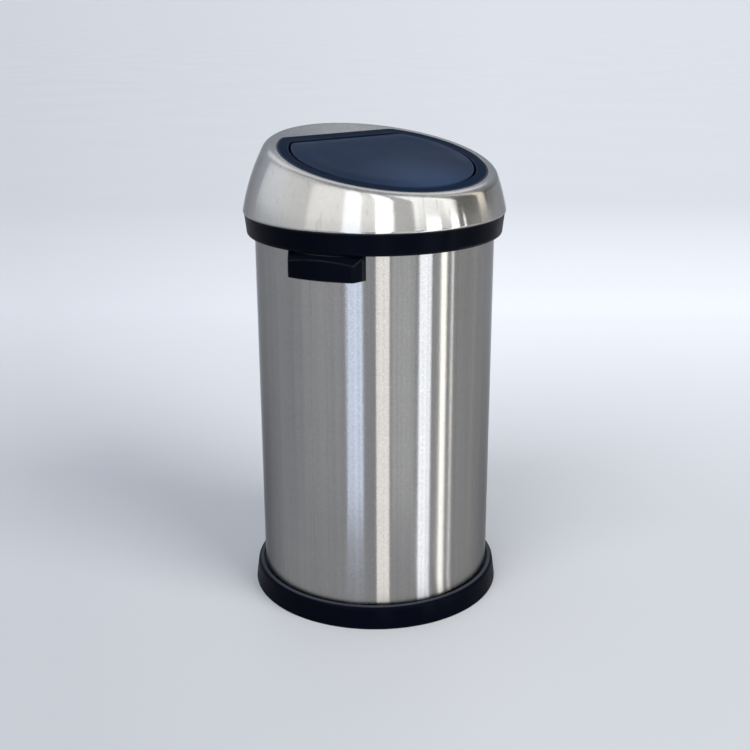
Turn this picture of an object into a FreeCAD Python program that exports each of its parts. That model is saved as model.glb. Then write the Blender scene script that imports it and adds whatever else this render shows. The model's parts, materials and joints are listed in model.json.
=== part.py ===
"""Touch-top waste bin: a steel tube body on a plastic base ring, with a lift-off domed lid.

The lid's top is cut on a slope. A D-shaped flap in a plastic bezel is hinged along the straight
side of the D, held shut by a push latch at the front and thrown open by two torsion springs.

Millimetres. +Z is up, the origin is the centre of the floor face of the base ring, the lid's
front looks along -Y and the flap's hinge line runs along X at the back of the lid.
"""
import os
from math import cos, degrees, pi, radians, sin, sqrt, tan

import FreeCAD
import Part

Vector = FreeCAD.Vector
ORIGIN = Vector(0, 0, 0)
AXIS_X = Vector(1, 0, 0)
AXIS_Y = Vector(0, 1, 0)
AXIS_Z = Vector(0, 0, 1)

# Clearances
press_gap = 0.15           # between curved faces that are pressed or clipped together
running_gap = 0.05         # radial, knuckle bore over the hinge pin
pin_press_gap = 0.02       # radial, a pin or screw in the hole that grips it
bag_gap = 1.0              # room for the folded bag between two rings
slide_gap = 0.3            # each side of a sliding piece
screw_gap = 0.2            # radial, a screw in its clearance hole

# Body tube and floor
body_radius = 172.0
body_wall = 0.8
body_length = 553.3
pan_rise = 8.0             # floor of the pan above the tube's lower edge
pan_edge_round = 5.0

# Base ring
base_overhang = 14.85      # how far its foot stands out from the body
base_height = 32.75
base_wall = 3.2
base_ledge_height = 12.0   # the tube stands on this ledge
base_ledge_wall = 3.0
base_ledge_depth = 12.0    # how far the ledge reaches in under the tube
base_shoulder_inset = 4.4
base_shoulder_round = 6.0
base_edge_round = 1.0
base_groove_width = 2.2
base_groove_depth = 4.0
base_lip_wall = 2.6

# Rim on the tube's top edge, and the ring that holds the bag
rim_wall = 2.5
rim_depth = 13.0           # how far the rim grips down over the tube
bag_ring_wall = 2.0
bag_ring_depth = 22.0
bag_ring_flange = 2.5

# Carrying handle, on the body just below the lid
handle_azimuth = -59.4     # turned from the lid's front, about Z
handle_base_half_angle = 19.2
handle_face_half_angle = 14.6
handle_reach = 17.5        # stands out from the body
handle_height = 33.0
handle_lid_gap = 0.8
handle_wall = 2.4
handle_crown_radius = 147.0
handle_crown_tilt = 37.0   # the top slopes up to the body, where it meets the lid
handle_crown_drop = 5.4    # the face's top edge below the handle's highest point
handle_corner_round = 6.0
handle_edge_round = 1.2
handle_screw_radius = 2.0
handle_screw_head = 2.2
handle_screw_half_angle = 12.0
handle_screw_drop = 12.0   # screws below the handle's top
handle_boss_wall = 2.4
handle_boss_depth = 8.0
back_plate_wall = 2.5
back_plate_margin = 8.0

# Lid collar
collar_overhang = 11.0     # lower edge, out from the body
collar_top_overhang = 14.4
collar_depth = 30.1
collar_wall = 4.2
collar_deck = 3.0
collar_edge_round = 4.0
collar_skirt_wall = 2.2
collar_skirt_depth = 12.0
collar_spigot_rise = 7.0
collar_spigot_wall = 2.4
collar_bead = 1.2
collar_bead_height = 2.2

# Steel dome
dome_wall = 0.8
dome_lip = 2.1             # stands out past the collar's top edge
dome_bulge_radius = 310.0
dome_lean = 9.9            # of the wall at its lower edge, from upright
dome_shoulder_round = 13.2
dome_hem = 4.5             # width of the hem turned in at the lower edge
dome_edge_round = 3.0

# Sloping top: heights along the bin's axis, distances measured on the slope
slope = 11.64
slope_rise = 81.75         # bezel's top face, level with the steel, above the collar on the axis
seat_inset = 23.3          # arc of the sunk seat for the bezel, inside the body radius
seat_arc_forward = 20.4    # centre of the D's arc, in front of the axis
seat_back_inset = 79.5     # straight side of the D, inside the body radius
seat_corner = 18.0
seat_depth = 2.4
seat_bevel = 0.5
bezel_gap = 2.0            # groove between the steel and the bezel
bezel_width = 14.3
bezel_back_width = 16.3    # strip along the straight side, behind the hinge
bezel_edge_round = 0.8
throat_wall = 2.6
throat_depth = 34.0
seat_width = 4.0           # of the steel under the bezel's edge
clamp_wall = 3.0
clamp_overlap = 5.0        # clamp frame under the steel, past its edge
barb_count = 7
barb_half_span = 110.0     # angle from the front to the last barb
barb_width = 14.0
barb_reach = 1.6
barb_height = 4.0

# Flap
flap_gap = 3.4             # between the flap and the bezel, along the arc
flap_corner = 16.0
flap_depth = 8.0
flap_edge_rise = 0.6       # edge of the flap above the bezel's face
flap_crown = 2.3           # flat middle above the edge
flap_border = 18.0         # width of the sloping border
flap_wall = 2.4
flap_border_round = 60.0
flap_edge_round = 1.5
underside_wall = 2.0
flap_screw_radius = 1.5
flap_screw_head = 1.8
flap_screw_length = 5.5
flap_boss_wall = 2.0
flap_screw_forward = 95.0  # front pair of screws, in front of the axis
flap_screw_back = 30.0     # back pair, behind the axis
flap_screw_half_spread = 62.0

# Hinge
pin_radius = 1.25
pin_end_gap = 10.3         # pin's end to the end of the mouth's straight side
pin_behind_flap = 6.0      # pin's axis behind the flap's back edge
pin_below_face = 4.6
pin_chamfer = 0.4
knuckle_wall = 1.1
knuckle_gap = 0.8          # between the knuckles and the wall behind them
knuckle_length = 24.0
lug_length = 8.0
lug_side_gap = 0.6
pin_overhang = 3.4         # pin past the outer lugs
spring_wire = 0.8
spring_pitch = 0.9
spring_turns = 9
spring_pin_gap = 0.35
spring_side_gap = 1.0      # spring to the lug beside it
spring_leg = 22.0
spring_leg_gap = 0.5       # round the long leg in its notch
spring_wall_gap = 0.4      # short leg to the bezel's wall

# Push latch at the front
latch_inset = 11.4         # middle of the latch, in from the flap's front edge
latch_top = 14.0           # top of the housing below the bezel's face
latch_height = 30.0
latch_half_width = 15.0
latch_half_depth = 9.0
latch_wall = 3.6
latch_floor = 2.0
slider_rise = 11.0         # underside of the slider above the housing's floor
slider_floor = 7.0
slider_height = 16.0
slider_jaw = 3.0
latch_spring_wire = 0.8
latch_spring_turns = 5
latch_spring_radius = 3.4
latch_screw_radius = 1.5
latch_screw_half_spread = 10.0
latch_screw_length = 9.0
latch_screw_head = 1.8
latch_screw_drop = 11.0    # screws below the housing's top
striker_half_width = 3.5
striker_head_half_width = 5.5
striker_head_height = 2.0
striker_half_thickness = 1.5
striker_gap = 3.5          # tip of the striker above the slider's floor
striker_base_half_width = 12.0
striker_base_half_depth = 5.0
striker_base_wall = 1.6
striker_screw_half_spread = 8.0

# Spring drawing
SPRING_SIDES = 6
SPRING_STEPS = 12          # straight pieces in a turn

LEVEL_TOLERANCE = 1e-3     # for telling which edges lie at a level
LENGTH_TOLERANCE = 1e-6    # shorter than this is no edge at all

# Worked-out levels and radii, from the floor up
body_bottom = base_ledge_height
body_top = body_bottom + body_length
body_inner = body_radius - body_wall
rim_top = body_top + rim_wall
rim_outer = body_radius + press_gap + rim_wall
rim_inner = body_inner - press_gap - rim_wall
bag_ring_top = rim_top + bag_ring_flange
bag_ring_outer = rim_inner - bag_gap
bag_ring_inner = bag_ring_outer - bag_ring_wall
collar_top = bag_ring_top + collar_deck
collar_bottom = collar_top - collar_depth
collar_top_radius = body_radius + collar_top_overhang
dome_rim_radius = collar_top_radius + dome_lip
hem_inner = dome_rim_radius - dome_hem
handle_top = collar_bottom - handle_lid_gap
handle_bottom = handle_top - handle_height
handle_face_radius = body_radius + handle_reach
handle_back = body_radius + press_gap
screw_z = handle_top - handle_screw_drop


def straight_half(arc, chord, corner):
    """Half the length of the straight side of a D with these sizes."""
    return sqrt((arc - corner) ** 2 - (chord - corner + seat_arc_forward) ** 2)


# Worked-out places on the sloping top, n being the height above the bezel's face
face_height = collar_top + slope_rise
seat_arc = body_radius - seat_inset
seat_chord = body_radius - seat_back_inset
bezel_arc = seat_arc - bezel_gap
bezel_chord = seat_chord - bezel_gap
bezel_corner = seat_corner - bezel_gap
steel_arc = bezel_arc - seat_width
steel_chord = bezel_chord - seat_width
mouth_arc = bezel_arc - bezel_width
mouth_chord = bezel_chord - bezel_back_width
mouth_corner = flap_corner + flap_gap
throat_arc = mouth_arc + throat_wall
throat_chord = mouth_chord + throat_wall
throat_corner = mouth_corner + throat_wall
flap_arc = mouth_arc - flap_gap
underside_n = -flap_depth
seat_n = -seat_depth
steel_under_n = seat_n - dome_wall
clamp_under_n = steel_under_n - clamp_wall
knuckle_radius = pin_radius + running_gap + knuckle_wall
pin_v = mouth_chord - knuckle_gap - knuckle_radius
pin_n = -pin_below_face
flap_chord = pin_v - pin_behind_flap
pin_half_length = straight_half(mouth_arc, mouth_chord, mouth_corner) - pin_end_gap
lug_reach = lug_side_gap + lug_length
knuckle_offset = pin_half_length - pin_overhang - lug_reach - knuckle_length / 2
spring_radius = pin_radius + spring_pin_gap + spring_wire / 2
spring_end = knuckle_offset - knuckle_length / 2 - lug_reach - spring_side_gap
spring_offset = spring_end - spring_turns * spring_pitch - spring_wire / 2
spring_leg_room = spring_wire / 2 + spring_leg_gap
latch_v = latch_inset - flap_arc - seat_arc_forward
housing_top_n = -latch_top
housing_bottom_n = housing_top_n - latch_height
channel_half_width = latch_half_width - latch_wall
channel_half_depth = latch_half_depth - latch_wall
channel_floor_n = housing_bottom_n + latch_floor
slider_bottom_n = channel_floor_n + slider_rise
slider_floor_n = slider_bottom_n + slider_floor


def rounded_outline(corners):
    """Closed wire in the XZ plane. A corner is (x, z) or (x, z, radius) for a rounded one."""
    count = len(corners)
    places = [Vector(corner[0], 0, corner[1]) for corner in corners]
    starts, middles, ends = [], [], []
    for i, here in enumerate(places):
        radius = corners[i][2] if len(corners[i]) > 2 else 0
        back = (places[i - 1] - here).normalize()
        onward = (places[(i + 1) % count] - here).normalize()
        half = back.getAngle(onward) / 2
        starts.append(here + back * (radius / tan(half)))
        ends.append(here + onward * (radius / tan(half)))
        inward = (back + onward).normalize() if radius else Vector()
        middles.append(here + inward * (radius / sin(half) - radius))
    edges = []
    for i in range(count):
        if (ends[i] - starts[i]).Length > LENGTH_TOLERANCE:
            edges.append(Part.Arc(starts[i], middles[i], ends[i]).toShape())
        following = starts[(i + 1) % count]
        if (following - ends[i]).Length > LENGTH_TOLERANCE:
            edges.append(Part.makeLine(ends[i], following))
    return Part.Wire(edges)


def turned(corners):
    """Solid of revolution about Z from an outline of (radius, z[, rounding]) corners."""
    return Part.Face(rounded_outline(corners)).revolve(ORIGIN, AXIS_Z, 360)


def cylinder(radius, start, end):
    """Round bar from one point to another."""
    along = end - start
    return Part.makeCylinder(radius, along.Length, start, along)


def block(low, high):
    """Upright box between two corners."""
    size = Vector(*high) - Vector(*low)
    return Part.makeBox(size.x, size.y, size.z, Vector(*low))


def screw(radius, length, head_height, start, direction):
    """Pan-head screw: start is the middle of the face under its head, direction its point."""
    along = Vector(direction).normalize()
    head = cylinder(2 * radius, start - along * head_height, start)
    rim = min(head.Edges, key=lambda edge: (edge.CenterOfMass - start).dot(along))
    head = head.makeFillet(head_height / 2, [rim])
    return head.fuse(cylinder(radius, start, start + along * length)).removeSplitter()


def on_slope(shape):
    """Place a shape drawn with the bezel's top face at z = 0 onto the sloping top of the lid."""
    placed = shape.copy()
    placed.rotate(ORIGIN, AXIS_X, slope)
    placed.translate(AXIS_Z * face_height)
    return placed


def dee_outline(arc, chord, corner, level=0):
    """D-shaped wire: an arc about a point in front of the axis, closed by a chord behind it."""
    centre = Vector(0, -seat_arc_forward, level)
    corner_x = straight_half(arc, chord, corner)
    chord_ends, corner_middles, arc_ends = [], [], []
    for side in (1, -1):
        corner_centre = Vector(side * corner_x, chord - corner, level)
        outward = (corner_centre - centre).normalize()
        chord_ends.append(corner_centre + AXIS_Y * corner)
        corner_middles.append(corner_centre + (outward + AXIS_Y).normalize() * corner)
        arc_ends.append(centre + outward * arc)
    return Part.Wire([
        Part.makeLine(chord_ends[1], chord_ends[0]),
        Part.Arc(chord_ends[0], corner_middles[0], arc_ends[0]).toShape(),
        Part.Arc(arc_ends[0], centre - AXIS_Y * arc, arc_ends[1]).toShape(),
        Part.Arc(arc_ends[1], corner_middles[1], chord_ends[1]).toShape()])


def dee(arc, chord, corner, low, high):
    """D-shaped plate between two levels."""
    return Part.Face(dee_outline(arc, chord, corner, low)).extrude(AXIS_Z * (high - low))


def edges_at(shape, level):
    """Edges of a shape that lie in the horizontal plane at this level."""
    def in_plane(edge):
        box = edge.BoundBox
        return abs(box.ZMin - level) + abs(box.ZMax - level) < LEVEL_TOLERANCE

    return [edge for edge in shape.Edges if in_plane(edge)]


def coil(wire, radius, pitch, turns, start_leg=0, end_leg=0):
    """Coil spring about Z from z = 0, of six-sided wire, with straight legs off its ends."""
    def section(angle, height, shift):
        outward = Vector(cos(angle), sin(angle), 0)
        tangent = Vector(-sin(angle), cos(angle), 0)
        middle = outward * radius + AXIS_Z * height + tangent * shift
        corners = [2 * pi * k / SPRING_SIDES for k in range(SPRING_SIDES + 1)]
        spokes = [outward * cos(corner) + AXIS_Z * sin(corner) for corner in corners]
        return Part.makePolygon([middle + spoke * (wire / 2) for spoke in spokes])

    steps = [i / SPRING_STEPS for i in range(turns * SPRING_STEPS + 1)]
    sections = [section(2 * pi * turn, pitch * turn, 0) for turn in steps]
    if start_leg:
        sections.insert(0, section(0, 0, -start_leg))
    if end_leg:
        sections.append(section(2 * pi * turns, pitch * turns, end_leg))
    return Part.makeLoft(sections, True, True)


# Body


def handle_screw_lines(azimuth):
    """Outward direction of each handle screw, for a handle at this azimuth."""
    for side in (-1, 1):
        angle = radians(azimuth + side * handle_screw_half_angle)
        yield Vector(sin(angle), -cos(angle), 0)


def body_shell():
    tube = turned([(body_inner, body_bottom), (body_radius, body_bottom),
                   (body_radius, body_top), (body_inner, body_top)])
    for outward in handle_screw_lines(handle_azimuth):
        start = outward * (body_inner - body_wall) + AXIS_Z * screw_z
        end = outward * (body_radius + body_wall) + AXIS_Z * screw_z
        tube = tube.cut(cylinder(handle_screw_radius + screw_gap, start, end))
    return tube


def bottom_pan():
    outer = body_inner - press_gap
    inner = outer - body_wall
    floor = body_bottom + pan_rise
    return turned([(0, floor - body_wall), (inner, floor - body_wall, pan_edge_round - body_wall),
                   (inner, body_bottom), (outer, body_bottom), (outer, floor, pan_edge_round), (0, floor)])


def base_ring():
    foot = body_radius + base_overhang
    shoulder = foot - base_shoulder_inset
    sleeve = body_radius + press_gap
    groove = sleeve + base_groove_width
    groove_floor = base_height - base_groove_depth
    lip = groove + base_lip_wall
    ledge_inner = body_inner - base_ledge_depth
    ledge_under = base_ledge_height - base_ledge_wall
    ceiling = base_height - base_wall
    return turned([(foot, 0, base_edge_round), (shoulder, base_height, base_shoulder_round),
                   (groove, base_height, base_edge_round), (groove, groove_floor), (sleeve, groove_floor),
                   (sleeve, base_ledge_height), (ledge_inner, base_ledge_height),
                   (ledge_inner, ledge_under), (lip, ledge_under), (lip, ceiling),
                   (shoulder - base_wall, ceiling, base_shoulder_round - base_wall), (foot - base_wall, 0)])


def top_rim():
    low = body_top - rim_depth
    slot_inner = body_inner - press_gap
    slot_outer = body_radius + press_gap
    return turned([(rim_inner, low), (slot_inner, low), (slot_inner, body_top), (slot_outer, body_top),
                   (slot_outer, low), (rim_outer, low), (rim_outer, rim_top, rim_wall / 2),
                   (rim_inner, rim_top, rim_wall / 2)])


def handle_form(inset):
    """Handle's outer form, facing -Y, drawn in by an inset at its back, face, ends and crown."""
    face = handle_face_radius - inset
    back = handle_back + inset
    back_angle = radians(handle_base_half_angle) - inset / body_radius
    face_angle = radians(handle_face_half_angle) - inset / body_radius

    def at(radius, angle):
        return Vector(radius * sin(angle), -radius * cos(angle), handle_bottom)

    plan = Part.Face(Part.Wire([
        Part.Arc(at(back, -back_angle), at(back, 0), at(back, back_angle)).toShape(),
        Part.makeLine(at(back, back_angle), at(face, face_angle)),
        Part.Arc(at(face, face_angle), at(face, 0), at(face, -face_angle)).toShape(),
        Part.makeLine(at(face, -face_angle), at(back, -back_angle))]))
    form = plan.extrude(AXIS_Z * (handle_height - inset))
    tilt = radians(handle_crown_tilt)
    along = Vector(0, cos(tilt), sin(tilt))
    upright = Vector(0, -sin(tilt), cos(tilt))
    ridge = Vector(0, -handle_face_radius, handle_top - handle_crown_drop)
    middle = ridge - upright * handle_crown_radius
    reach = along * (handle_height + handle_reach)
    return form.common(cylinder(handle_crown_radius - inset, middle - reach, middle + reach))


def crown_edge(form):
    """Edge where the handle's face meets its crown."""
    front = [edge for edge in form.Edges if edge.BoundBox.ZMin > handle_bottom + handle_edge_round]
    return min(front, key=lambda edge: edge.CenterOfMass.y)


def carry_handle():
    form = handle_form(0)
    upright = [edge for edge in form.Edges if edge.BoundBox.ZLength > handle_height / 2]
    face_ends = sorted(upright, key=lambda edge: edge.CenterOfMass.y)[:2]
    form = form.makeFillet(handle_corner_round, face_ends)
    form = form.makeFillet(handle_edge_round, [crown_edge(form)])
    handle = form.cut(handle_form(handle_wall))
    for outward in handle_screw_lines(0):
        base = outward * handle_back + AXIS_Z * screw_z
        boss = cylinder(handle_screw_radius + handle_boss_wall, base, base + outward * handle_boss_depth)
        handle = handle.fuse(boss.common(form))
    for outward in handle_screw_lines(0):
        base = outward * body_radius + AXIS_Z * screw_z
        tip = outward * (handle_back + handle_boss_depth) + AXIS_Z * screw_z
        handle = handle.cut(cylinder(handle_screw_radius + pin_press_gap, base, tip))
    handle = handle.removeSplitter()
    handle.rotate(ORIGIN, AXIS_Z, handle_azimuth)
    return handle


def handle_back_plate():
    outer = body_inner - press_gap
    inner = outer - back_plate_wall
    half_turn = handle_screw_half_angle + degrees(back_plate_margin / body_radius)
    low = screw_z - back_plate_margin
    high = screw_z + back_plate_margin
    section = Part.Face(rounded_outline([(inner, low), (outer, low), (outer, high), (inner, high)]))
    plate = section.revolve(ORIGIN, AXIS_Z, 2 * half_turn)
    plate.rotate(ORIGIN, AXIS_Z, handle_azimuth - 90 - half_turn)
    for outward in handle_screw_lines(handle_azimuth):
        start = outward * (inner - back_plate_wall) + AXIS_Z * screw_z
        end = outward * (outer + back_plate_wall) + AXIS_Z * screw_z
        plate = plate.cut(cylinder(handle_screw_radius + screw_gap, start, end))
    return plate


def handle_screws():
    head_seat = body_inner - 2 * press_gap - back_plate_wall
    length = handle_back + handle_boss_depth - head_seat - handle_screw_radius
    screws = []
    for outward in handle_screw_lines(handle_azimuth):
        seat = outward * head_seat + AXIS_Z * screw_z
        screws.append(screw(handle_screw_radius, length, handle_screw_head, seat, outward))
    return Part.makeCompound(screws)


# Bag ring


def bag_ring():
    return turned([(bag_ring_inner, rim_top - bag_ring_depth), (bag_ring_outer, rim_top - bag_ring_depth),
                   (bag_ring_outer, rim_top), (rim_outer, rim_top), (rim_outer, bag_ring_top),
                   (bag_ring_inner, bag_ring_top)])


# Lid


def lid_collar():
    skirt_outer = bag_ring_inner - bag_gap
    skirt_inner = skirt_outer - collar_skirt_wall
    skirt_bottom = bag_ring_top - collar_skirt_depth
    spigot = hem_inner - press_gap
    spigot_inner = spigot - collar_spigot_wall
    spigot_top = collar_top + collar_spigot_rise
    bead_low = collar_top + dome_wall + press_gap
    foot = body_radius + collar_overhang
    return turned([(foot, collar_bottom, collar_edge_round), (collar_top_radius, collar_top),
                   (spigot, collar_top), (spigot, bead_low), (spigot + collar_bead, bead_low),
                   (spigot, bead_low + collar_bead_height), (spigot, spigot_top),
                   (spigot_inner, spigot_top), (spigot_inner, collar_top), (skirt_inner, collar_top),
                   (skirt_inner, skirt_bottom), (skirt_outer, skirt_bottom), (skirt_outer, bag_ring_top),
                   (collar_top_radius - collar_wall, bag_ring_top), (foot - collar_wall, collar_bottom)])


def dome_form(inset):
    """Barrelled dome cut off on the slope with a rounded shoulder, drawn in by an inset."""
    lean = radians(dome_lean)
    centre_r = dome_rim_radius - dome_bulge_radius * cos(lean)
    centre_z = collar_top - dome_bulge_radius * sin(lean)
    radius = dome_bulge_radius - inset
    low = collar_top + inset
    high = face_height + slope_rise

    def wall(height):
        return Vector(centre_r + sqrt(radius ** 2 - (height - centre_z) ** 2), 0, height)

    outline = Part.Wire([
        Part.makeLine(Vector(0, 0, low), wall(low)),
        Part.Arc(wall(low), wall((low + high) / 2), wall(high)).toShape(),
        Part.makeLine(wall(high), Vector(0, 0, high)),
        Part.makeLine(Vector(0, 0, high), Vector(0, 0, low))])
    barrel = Part.Face(outline).revolve(ORIGIN, AXIS_Z, 360)
    wide = 2 * dome_rim_radius
    above = on_slope(block((-wide, -wide, -inset), (wide, wide, wide)))
    form = barrel.cut(above)
    flats = [face for face in form.Faces if face.Surface.TypeId == "Part::GeomPlane"]
    top = max(flats, key=lambda face: face.CenterOfMass.z)
    return form.makeFillet(dome_shoulder_round - inset, top.Edges)


def seat_form(inset):
    """Room of the sunk seat that the bezel lies in, with a bevelled rim, widened by an inset."""
    arc = seat_arc + inset
    chord = seat_chord + inset
    corner = seat_corner + inset
    rim_n = -inset - seat_bevel
    pocket = dee(arc, chord, corner, seat_n - inset, rim_n)
    flare = Part.makeLoft([
        dee_outline(arc, chord, corner, rim_n),
        dee_outline(arc + 2 * seat_bevel, chord + 2 * seat_bevel, corner + 2 * seat_bevel,
                    rim_n + 2 * seat_bevel)], True, True)
    return on_slope(pocket.fuse(flare))


def lid_dome():
    outer = dome_form(0)
    outer = outer.makeFillet(dome_edge_round, edges_at(outer, collar_top)).cut(seat_form(0))
    inner = dome_form(dome_wall)
    inner = inner.makeFillet(dome_edge_round - dome_wall, edges_at(inner, collar_top + dome_wall))
    inner = inner.cut(seat_form(dome_wall))
    dome = outer.cut(inner)
    dome = dome.cut(cylinder(hem_inner, AXIS_Z * collar_bottom, AXIS_Z * (collar_top + 2 * dome_wall)))
    hole = dee(steel_arc, steel_chord, bezel_corner, -throat_depth, throat_depth)
    return dome.cut(on_slope(hole))


def hinge_arm(middle_x, length, from_v, to_v, low, high):
    """Barrel round the hinge line with a web that joins it to the wall it belongs to."""
    left = middle_x - length / 2
    right = middle_x + length / 2
    barrel = cylinder(knuckle_radius, Vector(left, pin_v, pin_n), Vector(right, pin_v, pin_n))
    return barrel.fuse(block((left, from_v, low), (right, to_v, high)))


def hinge_bore(gap):
    """Bar to cut the hinge's bore with, at this clearance from the pin."""
    reach = pin_half_length + lug_length
    return cylinder(pin_radius + gap, Vector(-reach, pin_v, pin_n), Vector(reach, pin_v, pin_n))


def lid_bezel():
    flange = dee(bezel_arc, bezel_chord, bezel_corner, seat_n, 0)
    throat = dee(throat_arc, throat_chord, throat_corner, -throat_depth, seat_n)
    spigot = dee(steel_arc - press_gap, steel_chord - press_gap, bezel_corner, steel_under_n, seat_n)
    bezel = flange.fuse([throat, spigot]).removeSplitter()
    bezel = bezel.cut(dee(mouth_arc, mouth_chord, mouth_corner, -2 * throat_depth, throat_depth))
    bezel = bezel.makeFillet(bezel_edge_round, edges_at(bezel, 0))
    barb_top = clamp_under_n - press_gap
    for k in range(barb_count):
        barb = block((-barb_width / 2, -throat_arc - barb_reach, barb_top - barb_height),
                     (barb_width / 2, -mouth_arc - throat_wall / 2, barb_top))
        barb.rotate(ORIGIN, AXIS_Z, barb_half_span * (2 * k / (barb_count - 1) - 1))
        barb.translate(AXIS_Y * -seat_arc_forward)
        bezel = bezel.fuse(barb)
    for side in (-1, 1):
        for step in (-1, 1):
            lug_x = side * knuckle_offset + step * (knuckle_length / 2 + lug_reach - lug_length / 2)
            bezel = bezel.fuse(hinge_arm(lug_x, lug_length, pin_v, mouth_chord + throat_wall / 2,
                                         pin_n - knuckle_radius, pin_n))
    bezel = bezel.cut(hinge_bore(pin_press_gap))
    for start, along in latch_screw_places():
        bezel = bezel.cut(cylinder(latch_screw_radius + screw_gap, start, start + along * 2 * throat_wall))
    return on_slope(bezel.removeSplitter())


def bezel_clamp_frame():
    outer = dee(steel_arc + clamp_overlap, steel_chord + clamp_overlap, bezel_corner,
                clamp_under_n, steel_under_n)
    inner = dee(throat_arc + press_gap, throat_chord + press_gap, throat_corner, -throat_depth, 0)
    return on_slope(outer.cut(inner))


def hinge_pin():
    left = Vector(-pin_half_length, pin_v, pin_n)
    right = Vector(pin_half_length, pin_v, pin_n)
    pin = cylinder(pin_radius, left, right)
    ends = [edge for edge in pin.Edges if edge.BoundBox.XLength < pin_chamfer]
    return on_slope(pin.makeChamfer(pin_chamfer, ends))


def hinge_spring(side):
    """Torsion spring on the pin: its long leg lies under the flap, its short one on the bezel."""
    wall_leg = mouth_chord - pin_v - spring_wall_gap
    spring = coil(spring_wire, spring_radius, spring_pitch, spring_turns, spring_leg, wall_leg)
    spring.rotate(ORIGIN, AXIS_Y, 90)
    spring.translate(Vector(spring_offset, pin_v, pin_n))
    if side < 0:
        spring = spring.mirror(ORIGIN, AXIS_X)
    return on_slope(spring)


def hinge_spring_left():
    return hinge_spring(-1)


def hinge_spring_right():
    return hinge_spring(1)


def latch_screw_places():
    """Seat and direction of the screws that hold the latch to the throat's wall."""
    seat = -seat_arc_forward - throat_arc
    for side in (-1, 1):
        yield Vector(side * latch_screw_half_spread, seat, housing_top_n - latch_screw_drop), AXIS_Y


def latch_housing():
    front = latch_v - latch_half_depth
    box = block((-latch_half_width, front, housing_bottom_n),
                (latch_half_width, latch_v + latch_half_depth, housing_top_n))
    foot = block((-latch_half_width, front - throat_depth, -throat_depth),
                 (latch_half_width, front, housing_top_n))
    inside = dee(mouth_arc - press_gap, mouth_chord, mouth_corner, -2 * throat_depth, 0)
    housing = box.fuse(foot.common(inside)).removeSplitter()
    housing = housing.cut(block((-channel_half_width, latch_v - channel_half_depth, channel_floor_n),
                                (channel_half_width, latch_v + channel_half_depth, 0)))
    for start, along in latch_screw_places():
        end = start + along * latch_screw_length
        housing = housing.cut(cylinder(latch_screw_radius + pin_press_gap, start, end))
    return on_slope(housing)


def latch_screws():
    length = latch_screw_length - pin_chamfer
    return Part.makeCompound([
        on_slope(screw(latch_screw_radius, length, latch_screw_head, start, along))
        for start, along in latch_screw_places()])


def latch_spring():
    height = slider_rise - latch_spring_wire - 2 * slide_gap
    spring = coil(latch_spring_wire, latch_spring_radius, height / latch_spring_turns, latch_spring_turns)
    spring.translate(Vector(0, latch_v, channel_floor_n + latch_spring_wire / 2 + slide_gap))
    return on_slope(spring)


def latch_slider():
    half_width = channel_half_width - slide_gap
    half_depth = channel_half_depth - slide_gap
    top = slider_bottom_n + slider_height
    slider = block((-half_width, latch_v - half_depth, slider_bottom_n),
                   (half_width, latch_v + half_depth, top))
    jaw_gap = half_width - slider_jaw
    slider = slider.cut(block((-jaw_gap, latch_v - latch_half_depth, slider_floor_n),
                              (jaw_gap, latch_v + latch_half_depth, 0)))
    return on_slope(slider)


# Flap


def flap_form(inset):
    """Flap's outer form: an upright rim under a border that slopes up to a flat middle."""
    arc = flap_arc - inset
    chord = flap_chord - inset
    corner = flap_corner - inset
    edge_n = flap_edge_rise - inset
    middle_n = edge_n + flap_crown
    rim = dee(arc, chord, corner, underside_n, edge_n)
    border = Part.makeLoft([
        dee_outline(arc, chord, corner, edge_n),
        dee_outline(arc - flap_border, chord - flap_border, corner, middle_n)], True, True)
    return rim.fuse(border).removeSplitter()


def flap_screw_places():
    """Places of the screws through the flap's underside, the last two through the striker too."""
    for v in (-flap_screw_forward, flap_screw_back):
        for side in (-1, 1):
            yield Vector(side * flap_screw_half_spread, v, underside_n)
    for side in (-1, 1):
        yield Vector(side * striker_screw_half_spread, latch_v, underside_n - striker_base_wall)


def flap_screw_hole(place, gap):
    return cylinder(flap_screw_radius + gap, place, place + AXIS_Z * flap_screw_length)


def spring_leg_notch(side):
    """Notch in the flap's back wall and underside that the long leg of a spring lies in."""
    leg_x = side * spring_offset
    return block((leg_x - spring_leg_room, pin_v - spring_leg - spring_leg_gap, underside_n - flap_wall),
                 (leg_x + spring_leg_room, pin_v, pin_n - spring_radius + spring_leg_room))


def flap_panel():
    form = flap_form(0)
    form = form.makeFillet(flap_border_round, edges_at(form, flap_edge_rise + flap_crown))
    form = form.makeFillet(flap_edge_round, edges_at(form, flap_edge_rise))
    panel = form.cut(flap_form(flap_wall))
    for place in flap_screw_places():
        base = Vector(place.x, place.y, underside_n + underside_wall)
        boss = cylinder(flap_screw_radius + flap_boss_wall, base, base + AXIS_Z * flap_depth)
        panel = panel.fuse(boss.common(form))
    for side in (-1, 1):
        arm = hinge_arm(side * knuckle_offset, knuckle_length, flap_chord - flap_wall / 2, pin_v,
                        underside_n, pin_n + knuckle_radius)
        panel = panel.fuse(arm)
    panel = panel.cut(hinge_bore(running_gap))
    for place in flap_screw_places():
        panel = panel.cut(flap_screw_hole(place, pin_press_gap))
    for side in (-1, 1):
        panel = panel.cut(spring_leg_notch(side))
    return on_slope(panel.removeSplitter())


def flap_underside():
    inset = flap_wall + press_gap
    plate = dee(flap_arc - inset, flap_chord - inset, flap_corner - inset,
                underside_n, underside_n + underside_wall)
    for place in flap_screw_places():
        plate = plate.cut(flap_screw_hole(place, screw_gap))
    for side in (-1, 1):
        plate = plate.cut(spring_leg_notch(side))
    return on_slope(plate)


def flap_screws():
    length = flap_screw_length - pin_chamfer
    return Part.makeCompound([
        on_slope(screw(flap_screw_radius, length, flap_screw_head, place, AXIS_Z))
        for place in flap_screw_places()])


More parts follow.
